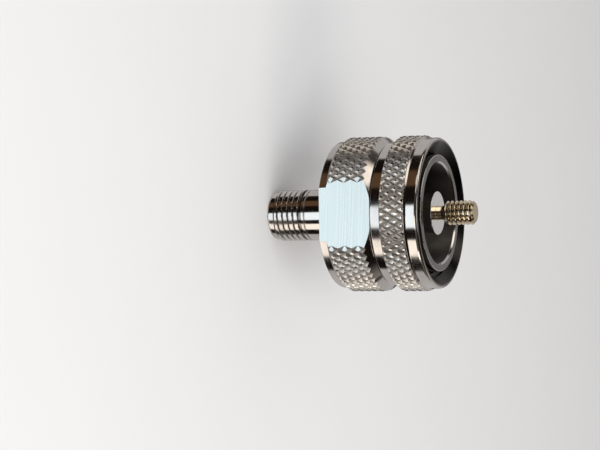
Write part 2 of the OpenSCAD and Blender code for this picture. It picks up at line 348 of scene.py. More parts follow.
def threaded_rod(name, crest_r, depth, pitch, low, high, columns, crest, root):
    """A closed rod with a right-hand thread that starts at its low end.

    crest and root are the shares of the pitch at full radius and at the groove's bottom.
    """
    rows = math.ceil((high - low) / pitch * THREAD_ROWS)
    vertices, faces = [], []
    for row in range(rows + 1):
        z = low + (high - low) * row / rows
        fade = min(1, (z - low) / (0.3 * pitch))
        for i in range(columns):
            phase = ((z - low) / pitch - i / columns) % 1
            away = 1 - abs(2 * phase - 1)
            rise = min(1, max(0, (away - root) / (1 - crest - root)))
            rise = rise * rise * (3 - 2 * rise)
            r = crest_r - depth * (1 - rise) * fade
            turn = math.tau * i / columns
            vertices.append((r * math.cos(turn), r * math.sin(turn), z))
    for row in range(rows):
        for i in range(columns):
            k = (i + 1) % columns
            a, b = row * columns, (row + 1) * columns
            faces.append((a + i, a + k, b + k, b + i))
    faces.append(tuple(reversed(range(columns))))
    faces.append(tuple(range(rows * columns, (rows + 1) * columns)))
    return add_object(name, vertices, faces)


def knurled_rod(name, crest_r, low, high, sizes):
    """A closed rod with raised diamonds, whose mesh lines run along the two helical grooves."""
    around = sizes.diamonds
    step_z = math.pi * crest_r / around / math.tan(sizes.helix)
    crest, root = sizes.crest, sizes.root
    cell = [-1, -1 + root, -crest - BREAK_W, -crest, crest, crest + BREAK_W, 1 - root]
    per = len(cell)

    def place(index):
        return 2 * (index // per) + cell[index % per]

    def rise(share):
        """Height share above the groove at this distance from the groove's middle line."""
        if share <= root:
            return GROOVE_FLOOR * (share / root) ** 2
        if share >= 1 - crest:
            return 1
        soft = 1 - crest - BREAK_W
        if share >= soft:
            return 1 - GROOVE_BREAK + GROOVE_BREAK * (share - soft) / BREAK_W
        return GROOVE_FLOOR + GROOVE_FLANK * (share - root) / (soft - root)

    vertices, index, faces = [], {}, []
    turns = per * around

    def vertex(a, b):
        if a + b < 0 or a + b >= 2 * turns:
            shift = math.floor((a + b) / (2 * turns)) * turns
            a, b = a - shift, b - shift
        if (a, b) not in index:
            p, q = place(a), place(b)
            u, v = (p + q) / 2, (p - q) / 2
            share = min(1 - abs((p + 1) % 2 - 1), 1 - abs((q + 1) % 2 - 1))
            r = crest_r - sizes.depth * (1 - rise(share))
            turn = math.pi * u / around
            index[a, b] = len(vertices)
            z = (low + high) / 2 + (v + 0.5) * step_z
            vertices.append((r * math.cos(turn), r * math.sin(turn), z))
        return index[a, b]

    reach = (high - low) / 2 / step_z + 0.8
    for b in range(-4 * per, turns + 4 * per):
        for a in range(b - 8 * per, b + 8 * per):
            u = (place(a) + place(b)) / 2
            v = (place(a) - place(b)) / 2
            if not 0 <= a + b < 2 * turns or abs(v + 0.5) > reach:
                continue
            loop = [vertex(a, b), vertex(a + 1, b), vertex(a + 1, b + 1), vertex(a, b + 1)]
            if (place(a) % 2 < 1) == (place(b) % 2 < 1):
                faces += [(loop[0], loop[1], loop[2]), (loop[0], loop[2], loop[3])]
            else:
                faces += [(loop[0], loop[1], loop[3]), (loop[1], loop[2], loop[3])]
    rod = add_object(name, vertices, faces)
    shape = bmesh.new()
    shape.from_mesh(rod.data)
    for level, side in ((low, -1), (high, 1)):
        bmesh.ops.bisect_plane(
            shape,
            geom=shape.verts[:] + shape.edges[:] + shape.faces[:],
            plane_co=(0, 0, level),
            plane_no=(0, 0, side),
            clear_outer=True,
        )
        rim = [e for e in shape.edges if e.is_boundary and abs(e.verts[0].co.z - level) < 1e-7]
        hub = shape.verts.new((0, 0, level))
        for edge in rim:
            shape.faces.new((edge.verts[0], edge.verts[1], hub))
    bmesh.ops.recalc_face_normals(shape, faces=shape.faces)
    shape.to_mesh(rod.data)
    shape.free()
    return rod


def is_closed(piece):
    """Whether every edge of a mesh joins exactly two faces."""
    shape = bmesh.new()
    shape.from_mesh(piece.data)
    closed = all(edge.is_manifold for edge in shape.edges)
    shape.free()
    return closed


def apply_modifiers(piece):
    """Puts the result of the piece's modifiers into its mesh."""
    bpy.context.view_layer.update()
    graph = bpy.context.evaluated_depsgraph_get()
    mesh = bpy.data.meshes.new_from_object(piece.evaluated_get(graph))
    piece.modifiers.clear()
    piece.data = mesh


def combine(piece, tool, operation):
    """Joins, cuts or trims piece with tool, and removes the tool."""
    for solid in (piece, tool):
        if not is_closed(solid):
            raise RuntimeError(f"{solid.name} is not closed, so it cannot be combined")
    change = piece.modifiers.new("Combine", "BOOLEAN")
    change.object = tool
    change.operation = operation
    change.solver = "MANIFOLD"
    apply_modifiers(piece)
    if not piece.data.polygons:
        raise RuntimeError(f"{piece.name}: nothing is left after {operation} with {tool.name}")
    bpy.data.objects.remove(tool)


def bore(piece, diameter, low, high, columns=PLAIN):
    """Drills a round hole about the axis."""
    r = diameter / 2
    drill = turned("drill", [(0, low), (r, low), (r, high), (0, high)], columns)
    combine(piece, drill, "DIFFERENCE")


def block(name, low, high):
    """A box between two corners, used only to cut."""
    spans = list(zip(low, high))
    corners = [(x, y, z) for x in spans[0] for y in spans[1] for z in spans[2]]
    faces = [(0, 1, 3, 2), (4, 6, 7, 5), (0, 4, 5, 1), (2, 3, 7, 6), (0, 2, 6, 4), (1, 5, 7, 3)]
    return add_object(name, corners, faces)


def dress(piece, body, node, finishes, choose=None):
    """Smooth shading, finishes and the piece's place in the frame, where it stands for a node."""
    mesh = piece.data
    mesh.name = piece.name
    mesh.materials.clear()
    for name in finishes:
        mesh.materials.append(finish(name))
    if choose:
        for face in mesh.polygons:
            face.material_index = choose(face.center, face.normal)
    mesh.shade_smooth()
    mesh.set_sharp_from_angle(angle=SHARP)
    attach(piece, body)
    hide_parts(node)


# ---- materials


class Nodes:
    """Short hand for adding and linking nodes in one tree."""

    def __init__(self, tree):
        self.tree = tree

    def feed(self, socket, value):
        """Links an input to another node's output, or gives it a number or a colour."""
        if isinstance(value, bpy.types.NodeSocket):
            self.tree.links.new(value, socket)
        elif socket.type == "RGBA":
            socket.default_value = (*value, 1)
        else:
            socket.default_value = value

    def add(self, kind, inputs=None, **settings):
        node = self.tree.nodes.new(kind)
        for key, value in settings.items():
            setattr(node, key, value)
        for key, value in (inputs or {}).items():
            self.feed(node.inputs[key], value)
        return node

    def math(self, operation, *values):
        inputs = dict(enumerate(values))
        return self.add("ShaderNodeMath", inputs, operation=operation).outputs[0]

    def ramp(self, value, low, high, to_low=0.0, to_high=1.0):
        limits = {"From Min": low, "From Max": high, "To Min": to_low, "To Max": to_high}
        inputs = {"Value": value, **limits}
        node = self.add("ShaderNodeMapRange", inputs, interpolation_type="SMOOTHSTEP")
        return node.outputs["Result"]

    def blend(self, share, first, second):
        """Mixes two colours. The mix node's colour sockets are numbers 6 and 7."""
        inputs = {0: share, 6: first, 7: second}
        return self.add("ShaderNodeMix", inputs, data_type="RGBA").outputs[2]

    def noise(self, vector, scale, detail, roughness, dimensions="3D"):
        inputs = {"Vector": vector, "Scale": scale, "Detail": detail, "Roughness": roughness}
        node = self.add("ShaderNodeTexNoise", inputs, noise_dimensions=dimensions)
        return node.outputs["Fac"]


def new_group(name, inputs, outputs):
    """A shader node group with named float sockets: its helper, its inputs and its outputs."""
    tree = bpy.data.node_groups.new(name, "ShaderNodeTree")
    for label, default in inputs:
        socket = tree.interface.new_socket(label, in_out="INPUT", socket_type="NodeSocketFloat")
        socket.default_value = default
    for label in outputs:
        tree.interface.new_socket(label, in_out="OUTPUT", socket_type="NodeSocketFloat")
    nodes = Nodes(tree)
    return nodes, nodes.add("NodeGroupInput").outputs, nodes.add("NodeGroupOutput").inputs


def radius_and_height(nodes):
    """Sockets with the distance from the axis, the height above the foot and the place."""
    place = nodes.add("ShaderNodeTexCoord").outputs["Object"]
    apart = nodes.add("ShaderNodeSeparateXYZ", {"Vector": place})
    flat = nodes.add("ShaderNodeCombineXYZ", {"X": apart.outputs["X"], "Y": apart.outputs["Y"]})
    reach = nodes.add("ShaderNodeVectorMath", {0: flat.outputs[0]}, operation="LENGTH")
    return reach.outputs["Value"], apart.outputs["Z"], place


def turning_marks_group():
    """Fine rings that a lathe tool leaves, as a height that changes with radius and level."""
    nodes, given, result = new_group(
        "Turning_Marks", [("Spacing", 0.00006), ("Detail", 3.0)], ["Height"]
    )
    reach, level, _ = radius_and_height(nodes)
    across = nodes.math("DIVIDE", reach, given["Spacing"])
    along = nodes.math("DIVIDE", level, given["Spacing"])
    vector = nodes.add("ShaderNodeCombineXYZ", {"X": across, "Y": along}).outputs[0]
    nodes.feed(result["Height"], nodes.noise(vector, 1.0, given["Detail"], 0.6, "2D"))
    return nodes.tree


def milling_lines_group():
    """Straight cutter lines across a flat, as a height and as a mask of pale and dark lines."""
    nodes, given, result = new_group(
        "Milling_Lines", [("Spacing", 0.0003), ("Wander", 0.05)], ["Height", "Mask"]
    )
    _, level, place = radius_and_height(nodes)
    apart = nodes.add("ShaderNodeSeparateXYZ", {"Vector": place})
    drift = nodes.math("MULTIPLY", apart.outputs["X"], given["Wander"])
    along = nodes.math("DIVIDE", nodes.math("ADD", level, drift), given["Spacing"])
    side = nodes.math("MULTIPLY", apart.outputs["X"], 40.0)
    vector = nodes.add("ShaderNodeCombineXYZ", {"X": along, "Y": side}).outputs[0]
    for label, detail in (("Height", 4.0), ("Mask", 1.0)):
        nodes.feed(result[label], nodes.noise(vector, 1.0, detail, 0.55, "2D"))
    return nodes.tree


def haze_group():
    """Cloudy patches of handling haze on a polished surface."""
    nodes, given, result = new_group("Handling_Haze", [("Patch", 0.004)], ["Mask"])
    _, _, place = radius_and_height(nodes)
    scale = nodes.math("DIVIDE", 1.0, given["Patch"])
    clouds = nodes.noise(place, scale, 5.0, 0.62)
    nodes.feed(result["Mask"], nodes.ramp(clouds, 0.38, 0.68))
    return nodes.tree


def groove_group():
    """How deep a point lies below the crests of a knurl or thread: 0 on a crest, 1 in a groove."""
    nodes, given, result = new_group(
        "Groove_Depth", [("Crest radius", 0.0096), ("Depth", 0.0004)], ["Mask"]
    )
    reach, _, _ = radius_and_height(nodes)
    below = nodes.math("SUBTRACT", given["Crest radius"], reach)
    share = nodes.math("DIVIDE", below, given["Depth"])
    nodes.feed(result["Mask"], nodes.ramp(share, 0.1, 1.0))
    return nodes.tree


def group_node(nodes, name, builder, inputs):
    """Places a shared node group in a material, building it the first time."""
    tree = bpy.data.node_groups.get(name) or builder()
    return nodes.add("ShaderNodeGroup", inputs, node_tree=tree).outputs


def new_material(name, metallic=0):
    """An empty material, with its node helper and the inputs of its Principled shader."""
    material = bpy.data.materials.new(name)
    material.use_nodes = True
    material.node_tree.nodes.clear()
    nodes = Nodes(material.node_tree)
    shader = nodes.add("ShaderNodeBsdfPrincipled", {"Metallic": metallic})
    nodes.add("ShaderNodeOutputMaterial", {"Surface": shader.outputs["BSDF"]})
    return material, nodes, shader.inputs


def set_bump(nodes, shader, level, distance, strength):
    """Feeds a height into the shader's normal."""
    inputs = {"Height": level, "Distance": distance, "Strength": strength}
    nodes.feed(shader["Normal"], nodes.add("ShaderNodeBump", inputs).outputs["Normal"])


def plated(name, tint, dark, roughness, marks=0.25, grooves=None, groove_shade=0.85, dulling=0.0,
           brushed=0.0):
    """Polished plate with turning marks and haze.

    grooves is (crest radius, depth) of a knurl or thread. Its grooves get painted shade, darker by
    the given share, and its flanks get rougher by dulling. brushed draws highlights along the axis.
    """
    material, nodes, shader = new_material(name, metallic=1)
    shader["Anisotropic"].default_value = brushed
    shader["Anisotropic Rotation"].default_value = 0.25
    haze = group_node(nodes, "Handling_Haze", haze_group, {"Patch": 4 * MM})["Mask"]
    tinted = nodes.blend(nodes.math("MULTIPLY", haze, 0.12), tint, dark)
    if grooves:
        sizes = {"Crest radius": grooves[0], "Depth": grooves[1]}
        deep = group_node(nodes, "Groove_Depth", groove_group, sizes)["Mask"]
        # Painted shade: the grooves are blended towards the dark tint by their depth.
        tinted = nodes.blend(nodes.math("MULTIPLY", deep, groove_shade), tinted, dark)
    nodes.feed(shader["Base Color"], tinted)
    gloss = nodes.ramp(haze, 0, 1, roughness, roughness * 1.7)
    if dulling:
        flank = nodes.ramp(deep, 0.0, 0.25, 0.0, dulling)
        gloss = nodes.math("ADD", gloss, flank)
    nodes.feed(shader["Roughness"], gloss)
    spacing = {"Spacing": TURNING_PITCH}
    rings = group_node(nodes, "Turning_Marks", turning_marks_group, spacing)["Height"]
    set_bump(nodes, shader, rings, 0.002 * MM, marks)
    return material


def milled(name, tint, dark, roughness):
    """Milled wrench flat: satin plate with fine lines across, in a paler, cooler tint that is
    painted light.
    """
    material, nodes, shader = new_material(name, metallic=1)
    lines = group_node(nodes, "Milling_Lines", milling_lines_group, {"Spacing": 0.17 * MM})
    streaks = nodes.ramp(lines["Mask"], 0.35, 0.7, 0.0, 0.07)
    nodes.feed(shader["Base Color"], nodes.blend(streaks, tint, dark))
    gloss = nodes.ramp(lines["Height"], 0.3, 0.7, roughness, roughness * 1.15)
    nodes.feed(shader["Roughness"], gloss)
    set_bump(nodes, shader, lines["Height"], 0.004 * MM, 0.05)
    return material


def moulded(name, tint, roughness):
    """Plastic or rubber with a fine grain."""
    material, nodes, shader = new_material(name)
    haze = group_node(nodes, "Handling_Haze", haze_group, {"Patch": 1.5 * MM})["Mask"]
    darker = tuple(0.75 * c for c in tint)
    tinted = nodes.blend(nodes.math("MULTIPLY", haze, 0.5), tint, darker)
    nodes.feed(shader["Base Color"], tinted)
    gloss = nodes.ramp(haze, 0, 1, roughness, min(1, roughness * 1.3))
    nodes.feed(shader["Roughness"], gloss)
    spacing = {"Spacing": GRAIN * 4}
    rings = group_node(nodes, "Turning_Marks", turning_marks_group, spacing)["Height"]
    set_bump(nodes, shader, rings, GRAIN, 0.3)
    return material


def finish(name):
    """One of the adaptor's finishes by name, made the first time it is asked for."""
    if name in bpy.data.materials:
        return bpy.data.materials[name]
    scene = bpy.context.scene
    look, knurl, jack, stud = (
        scene.adaptor_finish, scene.adaptor_knurl, scene.adaptor_jack, scene.adaptor_stud
    )
    nickel, nickel_haze_and_groove_shade = tuple(look.nickel), tuple(look.nickel_haze_and_groove_shade)
    gold, gold_haze_and_groove_shade = tuple(look.gold), tuple(look.gold_haze_and_groove_shade)
    diamonds = radius("coupling_nut"), knurl.depth
    jack_thread = jack.barrel_d / 2, jack.depth
    stud_thread = radius("centre_stud"), stud.depth

    def nickel_in_painted_shade(share):
        """The nickel darkened to a share of its colour: painted shade where the plate shows only a
        dark surrounding.
        """
        return tuple(share * c for c in nickel)

    makers = {
        "Nickel_Polished": lambda n: plated(n, nickel, nickel_haze_and_groove_shade, look.polish),
        "Nickel_Knurled": lambda n: plated(
            n, tuple(look.knurled), nickel_haze_and_groove_shade, 0.13, 0.15, diamonds, groove_shade=0.45, dulling=0.2
        ),
        "Nickel_Threaded": lambda n: plated(n, nickel, nickel_haze_and_groove_shade, 0.12, 0.15, jack_thread),
        "Nickel_Milled": lambda n: milled(n, tuple(look.milled), nickel_haze_and_groove_shade, 0.27),
        # Paler than the nickel: painted light that brightens the conductor's mirror face.
        "Nickel_Mirror": lambda n: plated(n, (0.93, 0.91, 0.89), nickel, 0.05, 0.05),
        # Painted shade: the countersink, the bore and the front faces are darkened to a share of
        # the nickel.
        "Nickel_Countersink_Shade": lambda n: plated(n, nickel_in_painted_shade(0.05), nickel_haze_and_groove_shade, 0.25),
        "Nickel_Inside": lambda n: plated(n, nickel_in_painted_shade(0.28), nickel_haze_and_groove_shade, 0.5, brushed=0.95),
        "Nickel_Satin_Shade": lambda n: plated(n, nickel_in_painted_shade(0.28), nickel_haze_and_groove_shade, 0.2, 0.6),
        "Gold_Plate": lambda n: plated(n, gold, gold_haze_and_groove_shade, 0.14, 0.1, stud_thread, groove_shade=0.65),
        "Gold_Plain": lambda n: plated(n, gold, gold_haze_and_groove_shade, 0.1),
        "Plastic_White": lambda n: moulded(n, tuple(look.plastic), 0.45),
        "Plastic_Bead_Shade": lambda n: moulded(n, tuple(look.bead), 0.4),
        "Rubber_Black": lambda n: moulded(n, tuple(look.rubber), 0.7),
    }
    return makers[name](name)


# ---- pieces


def build_main_body(context):
    """Jack barrel, knurled grip and nose, with the thread, diamonds, flats and bores."""
    jack, body = context.scene.adaptor_jack, context.scene.adaptor_body
    knurl, line = context.scene.adaptor_knurl, context.scene.adaptor_line
    foot, shoulder = height("main_body")
    crest_r = radius("main_body")
    rear = foot + jack.barrel_l
    grip = rear + body.rear_land_l
    nose = shoulder - body.nose_l
    land_r, barrel_r, lead_r = body.rear_land_d / 2, jack.barrel_d / 2, jack.lead_d / 2
    core_r = crest_r - knurl.depth - LAP
    relief_r = barrel_r - jack.depth
    lead = foot + jack.lead_l
    relief = foot + jack.thread_end + jack.relief_l
    nick = relief + jack.collar_l
    nick_end = nick + jack.nick_w
    nick_depth, corner, slope = 0.12 * MM, 0.03 * MM, 0.03 * MM

    grip_part = knurled_rod("Main_Body", crest_r, grip, shoulder, knurl)
    nose_slope = (crest_r - body.shoulder_d / 2) / body.nose_l
    envelope = turned(
        "envelope",
        [
            (0, grip),
            (crest_r - body.bevel, grip),
            (crest_r + LAP, grip + body.bevel + LAP),
            (crest_r + LAP, nose - LAP / nose_slope),
            (body.shoulder_d / 2, shoulder, 0.06 * MM),
            (0, shoulder),
        ],
    )
    combine(grip_part, envelope, "INTERSECT")
    bar = turned(
        "bar",
        [
            (0, foot),
            (lead_r, foot, 0.26 * MM),
            (lead_r, lead - 0.22 * MM),
            (lead_r - nick_depth, lead - nick_depth),
            (lead_r - nick_depth, lead),
            (relief_r, lead),
            (relief_r, relief, corner),
            (barrel_r, relief + 0.04 * MM, corner),
            (barrel_r, nick - slope, corner),
            (barrel_r - nick_depth, nick, corner),
            (barrel_r - nick_depth, nick_end, corner),
            (barrel_r, nick_end + slope, corner),
            (barrel_r, rear, 0.05 * MM),
            (land_r, rear, 0.1 * MM),
            (land_r, grip + 2 * LAP),
            (0, grip + 2 * LAP),
        ],
    )
    combine(grip_part, bar, "UNION")
    thread = threaded_rod(
        "thread",
        barrel_r,
        jack.depth,
        jack.pitch,
        foot + jack.thread_foot - jack.pitch,
        foot + jack.thread_end,
        THREADED,
        crest=0.58,
        root=0.1,
    )
    sleeve = turned(
        "sleeve",
        [
            (0, lead),
            (lead_r - 0.05 * MM, lead),
            (barrel_r + 0.05 * MM, lead + 0.06 * MM),
            (barrel_r + 0.05 * MM, rear),
            (0, rear),
        ],
        PLAIN,
    )
    combine(thread, sleeve, "INTERSECT")
    combine(grip_part, thread, "UNION")
    reach = crest_r + OVER
    for side in (-1, 1):
        near, far = sorted((side * body.flats_w / 2, side * reach))
        cutter = block("cutter", (-reach, near, rear - OVER), (reach, far, shoulder + OVER))
        combine(grip_part, cutter, "DIFFERENCE")
    bead_low, bead_high = height("insulating_bead")
    insulator_r, bead_r = radius("jack_insulator") + SEAT, radius("insulating_bead") + SEAT
    socket_r, spigot_r = jack.socket_d / 2, line.spigot_d / 2 + SEAT
    mouth_bevel = 0.12 * MM
    socket = turned(
        "socket",
        [
            (0, foot - OVER),
            (socket_r + mouth_bevel, foot - OVER),
            (socket_r + mouth_bevel, foot),
            (socket_r, foot + mouth_bevel),
            (socket_r, foot + jack.socket_l),
            (insulator_r, foot + jack.socket_l),
            (insulator_r, height("jack_insulator")[1]),
            (line.bore_d / 2, bead_low),
            (bead_r, bead_low),
            (bead_r, bead_high),
            (spigot_r, bead_high),
            (spigot_r, shoulder + OVER),
            (0, shoulder + OVER),
        ],
        PLAIN,
    )
    combine(grip_part, socket, "DIFFERENCE")

    thread_floor = lead_r - 0.3 * MM

    def choose(centre, normal):
        out = math.hypot(centre.x, centre.y)
        if abs(normal.y) > 0.999 and abs(abs(centre.y) - body.flats_w / 2) < NEAR:
            return 2
        if lead - 0.1 * jack.lead_l < centre.z < nick_end + jack.nick_w and out > thread_floor:
            return 3
        if out < socket_r + SEAT and centre.z > foot + 0.1 * MM:
            return 4
        on_knurl = grip + 0.1 * NEAR < centre.z < shoulder and out > core_r
        cone_r = body.shoulder_d / 2 + (shoulder - centre.z) * nose_slope
        if on_knurl and abs(out - cone_r) > 1.2 * NEAR and abs(normal.z) < 0.999:
            return 1
        return 0

    names = (
        "Nickel_Polished", "Nickel_Knurled", "Nickel_Milled", "Nickel_Threaded", "Nickel_Inside"
    )
    dress(grip_part, FIXED, "main_body", names, choose)


def build_coupling_nut(context):
    """Coupling nut with its diamonds, rounded rim, countersink and internal thread."""
    nut, knurl = context.scene.adaptor_nut, context.scene.adaptor_knurl
    low, high = height("coupling_nut")
    crest_r = radius("coupling_nut")
    knurl_low = low + nut.rear_l
    knurl_high = knurl_low + nut.knurl_l
    core_r = crest_r - knurl.depth - 0.05 * MM
    knurl_lap, collar_step = 0.12 * MM, 0.06 * MM
    front_r, rear_r = nut.front_d / 2, nut.rear_d / 2
    collar_r = crest_r - nut.collar_drop
    rim_r = front_r - nut.rim_w
    bore_r = nut.thread_d / 2
    countersink = high - (rim_r - bore_r)

    piece = turned(
        "Coupling_Nut",
        [
            (0, low),
            (rear_r, low, 0.1 * MM),
            (rear_r, knurl_low - knurl_lap, 0.04 * MM),
            (core_r, knurl_low),
            (core_r, knurl_high - knurl_lap),
            (collar_r, knurl_high - collar_step, 0.02 * MM),
            (front_r, knurl_high - collar_step + collar_r - front_r, 0.04 * MM),
            (front_r, high, nut.edge_r),
            (rim_r - 0.02 * MM, high, 0.02 * MM),
            (bore_r, countersink, 0.02 * MM),
            (bore_r, countersink - LAP),
            (0, countersink - LAP),
        ],
    )
    diamonds = knurled_rod("diamonds", crest_r, knurl_low, knurl_high, knurl)
    bevel = knurl.bevel
    envelope = turned(
        "envelope",
        [
            (0, knurl_low - OVER),
            (crest_r - bevel - OVER, knurl_low - OVER),
            (crest_r - bevel, knurl_low),
            (crest_r + SEAT, knurl_low + bevel + SEAT),
            (crest_r + SEAT, knurl_high - bevel - SEAT),
            (crest_r - bevel, knurl_high),
            (crest_r - bevel - OVER, knurl_high + OVER),
            (0, knurl_high + OVER),
        ],
    )
    combine(diamonds, envelope, "INTERSECT")
    combine(piece, diamonds, "UNION")
    bore(piece, nut.flange_d, low - OVER, low + nut.flange_t + LAP)
    bore(piece, nut.chamber_d, low + nut.flange_t, nut.chamber_top)
    bore(piece, nut.thread_d, nut.chamber_top - LAP, high, THREADED)
    tap = threaded_rod(
        "tap",
        bore_r + nut.thread_depth,
        nut.thread_depth + 0.05 * MM,
        nut.pitch,
        nut.chamber_top - 0.3 * MM,
        high - 0.5 * MM,
        THREADED,
        crest=0.3,
        root=0.12,
    )
    combine(piece, tap, "DIFFERENCE")

    def choose(centre, normal):
        out = math.hypot(centre.x, centre.y)
        if centre.z > high - NEAR:
            return 3
        on_knurl = knurl_low < centre.z < knurl_high - knurl_lap - SEAT and out > core_r - NEAR
        if on_knurl and abs(normal.z) < 0.99:
            return 1
        faces_in = normal.x * centre.x + normal.y * centre.y < 0
        if out < rim_r - 0.5 * NEAR and (faces_in or out < bore_r + 0.5 * MM):
            return 2
        return 0

    names = ("Nickel_Polished", "Nickel_Knurled", "Nickel_Countersink_Shade", "Nickel_Satin_Shade")
    dress(piece, TURNING, "coupling_nut", names, choose)


def build_outer_conductor(context):
    """Front tube of the line with its bevelled mouth, journal, ring groove and spigot."""
    line = context.scene.adaptor_line
    low, high = height("outer_conductor")
    ring_low, ring_high = height("retaining_ring")
    groove_r = 6.95 * MM
    journal_r, tube_r, spigot_r = radius("outer_conductor"), line.tube_d / 2, line.spigot_d / 2
    shoulder = height("main_body")[1]
    bore_r = line.bore_d / 2
    slack = 0.05 * MM
    piece = turned(
        "Outer_Conductor",
        [
            (bore_r, low),
            (spigot_r, low),
            (spigot_r, shoulder),
            (journal_r, shoulder, 0.04 * MM),
            (journal_r, ring_low - slack),
            (groove_r, ring_low - slack),
            (groove_r, ring_high + slack),
            (journal_r, ring_high + slack),
            (journal_r, line.tube_foot, 0.05 * MM),
            (tube_r, line.tube_foot, 0.05 * MM),
            (tube_r, high, 0.09 * MM),
            (bore_r + line.lip_w, high, 0.03 * MM),
            (bore_r, high - line.lip_w, 0.05 * MM),
            (bore_r, (low + high) / 2),
        ],
        ring=True,
    )

    def choose(centre, normal):
        if normal.z > 0.99 and centre.z > high - NEAR:
            return 2
        inside = math.hypot(centre.x, centre.y) < bore_r + 2 * NEAR
        return 1 if inside and centre.z < high - line.lip_w else 0

    names = ("Nickel_Polished", "Nickel_Inside", "Nickel_Satin_Shade")
    dress(piece, FIXED, "outer_conductor", names, choose)


def build_centre_conductor(context):
    """Large centre conductor with a mirror-flat end face."""
    line, stud = context.scene.adaptor_line, context.scene.adaptor_stud
    low, high = height("centre_conductor")
    bead_top = height("insulating_bead")[1]
    r, neck_r = radius("centre_conductor"), line.neck_d / 2
    hole_r, tail_r = stud.neck_d / 2 + SEAT, line.tail_d / 2 + SEAT
    hole_end = height("centre_stud")[0]
    tail_top = height("jack_contact")[1]
    piece = turned(
        "Centre_Conductor",
        [
            (tail_r, low),
            (neck_r, low),
            (neck_r, bead_top),
            (r, bead_top, 0.04 * MM),
            (r, high, 0.05 * MM),
            (hole_r, high, 0.02 * MM),
            (hole_r, hole_end),
            (0, hole_end),
            (0, tail_top),
            (tail_r, tail_top),
        ],
        THREADED,
    )
    dress(piece, FIXED, "centre_conductor", ["Nickel_Mirror"])


def build_centre_stud(context):
    """Gold stud with a slim neck, a fine thread and a rounded tip."""
    stud = context.scene.adaptor_stud
    low, high = height("centre_stud")
    face = height("centre_conductor")[1]
    thread_foot = face + stud.neck_l
    crest_r, neck_r = radius("centre_stud"), stud.neck_d / 2
    root_r = crest_r - stud.depth
    piece = turned(
        "Centre_Stud",
        [
            (0, low),
            (neck_r, low),
            (neck_r, thread_foot - 0.05 * MM, 0.04 * MM),
            (root_r, thread_foot - 0.05 * MM, 0.04 * MM),
            (root_r, high - LAP),
            (0, high - LAP),
        ],
        SLIM,
    )
    thread = threaded_rod(
        "thread",
        crest_r,
        stud.depth,
        stud.pitch,
        thread_foot,
        high + OVER,
        SLIM,
        crest=0.22,
        root=0.05,
    )
    envelope = turned(
        "envelope",
        [
            (0, thread_foot - OVER),
            (root_r + 0.05 * MM, thread_foot - OVER),
            (root_r + 0.05 * MM, thread_foot),
            (crest_r + 0.05 * MM, thread_foot + 0.2 * MM),
            (crest_r + 0.05 * MM, high - stud.tip),
            (crest_r - stud.tip, high, 0.12 * MM),
            (0, high),
        ],
        SLIM,
    )
    combine(thread, envelope, "INTERSECT")
    combine(piece, thread, "UNION")

    def choose(centre, normal):
        return 1 if centre.z < thread_foot - NEAR else 0

    dress(piece, FIXED, "centre_stud", ("Gold_Plate", "Gold_Plain"), choose)


def paint_node(node, material):
    """Keeps a frame node whose shape is right and gives it its finish."""
    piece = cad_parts[node]
    piece.data.materials.clear()
    piece.data.materials.append(finish(material))
    for face in piece.data.polygons:
        face.material_index = 0


class BuildMainBody(bpy.types.Operator):
    """Make the jack barrel and the knurled grip body"""

    bl_idname = "adaptor.main_body"
    bl_label = "Main Body"

    def execute(self, context):
        build_main_body(context)
        return {"FINISHED"}


class BuildCouplingNut(bpy.types.Operator):
    """Make the knurled coupling nut"""

    bl_idname = "adaptor.coupling_nut"
    bl_label = "Coupling Nut"

    def execute(self, context):
        build_coupling_nut(context)
        return {"FINISHED"}


class BuildConductors(bpy.types.Operator):
    """Make the outer and the centre conductor of the line"""

    bl_idname = "adaptor.conductors"
    bl_label = "Conductors"

    def execute(self, context):
        build_outer_conductor(context)
        build_centre_conductor(context)
        return {"FINISHED"}


class BuildCentreStud(bpy.types.Operator):
    """Make the threaded stud"""

    bl_idname = "adaptor.centre_stud"
    bl_label = "Centre Stud"

    def execute(self, context):
        build_centre_stud(context)
        return {"FINISHED"}


class FinishInnerPieces(bpy.types.Operator):
    """Give the insulators, the ring, the gasket and the jack contact their finishes"""

    bl_idname = "adaptor.inner_pieces"
    bl_label = "Inner Pieces"

    def execute(self, context):
        paint_node("insulating_bead", "Plastic_Bead_Shade")
        paint_node("jack_insulator", "Plastic_White")
        paint_node("face_gasket", "Rubber_Black")
        paint_node("retaining_ring", "Nickel_Inside")
        paint_node("jack_contact", "Gold_Plain")
        return {"FINISHED"}


# ---- stage


def add_lamp(name, azimuth, elevation, distance, size, power, tint):
    """A square area lamp that faces the adaptor. Azimuth 0 is the camera's side."""
    lamp = bpy.data.lights.new(name, "AREA")
    lamp.size = size
    lamp.energy = power
    lamp.color = tint
    holder = bpy.data.objects.new(name, lamp)
    bpy.context.scene.collection.objects.link(holder)
    a, e = math.radians(azimuth), math.radians(elevation)
    back = Vector((math.sin(a) * math.cos(e), -math.cos(a) * math.cos(e), math.sin(e)))
    target = (cad_box[0] + cad_box[1]) / 2
    holder.location = target + back * distance
    holder.rotation_euler = (-back).to_track_quat("-Z", "Y").to_euler()
    holder.visible_glossy = False


